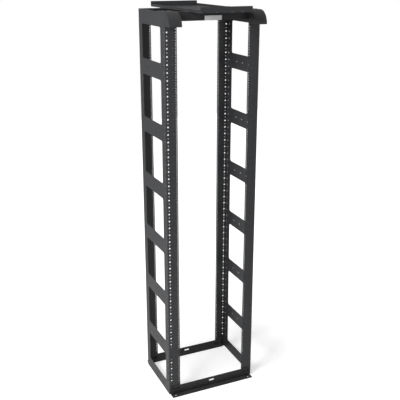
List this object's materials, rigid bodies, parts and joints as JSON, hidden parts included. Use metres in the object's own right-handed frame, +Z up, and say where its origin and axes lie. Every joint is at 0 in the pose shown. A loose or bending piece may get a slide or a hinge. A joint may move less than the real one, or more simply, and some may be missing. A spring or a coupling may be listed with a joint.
{
  "type": "two post open frame rack",
  "caption": "Tall two post open frame rack with deep windowed side channels, punched mounting flanges, base angles, an overhead trough and curved cable waterfalls.",
  "frame": {"origin": "centre of the footprint on the floor", "axes": "+X to the right seen from the front, +Y to the back, +Z up"},
  "size_m": [0.6032, 0.7528, 2.4704],
  "materials": {
    "black_channel": "satin powder coat",
    "black_angle": "satin powder coat",
    "black_sheet": "satin powder coat",
    "white_plate": "plain white, bare"
  },
  "bodies": {
    "root": {"left_front_rail": "black_channel", "left_rear_rail": "black_channel", "right_front_rail": "black_channel", "right_rear_rail": "black_channel", "left_web_tie_1": "black_channel", "left_web_tie_2": "black_channel", "left_web_tie_3": "black_channel", "left_web_tie_4": "black_channel", "left_web_tie_5": "black_channel", "left_web_tie_6": "black_channel", "left_web_sill": "black_channel", "left_web_head": "black_channel", "right_web_tie_1": "black_channel", "right_web_tie_2": "black_channel", "right_web_tie_3": "black_channel", "right_web_tie_4": "black_channel", "right_web_tie_5": "black_channel", "right_web_tie_6": "black_channel", "right_web_sill": "black_channel", "right_web_head": "black_channel", "front_base_angle": "black_angle", "rear_base_angle": "black_angle", "front_head_angle": "black_angle", "rear_head_angle": "black_angle", "tray_floor": "black_sheet", "tray_side_walls": "black_sheet", "tray_front_lip": "black_sheet", "tray_rear_lip": "black_sheet", "left_waterfall": "black_sheet", "right_waterfall": "black_sheet", "left_waterfall_cheeks": "black_sheet", "right_waterfall_cheeks": "black_sheet", "label_plate": "white_plate"}
  },
  "joints": []
}
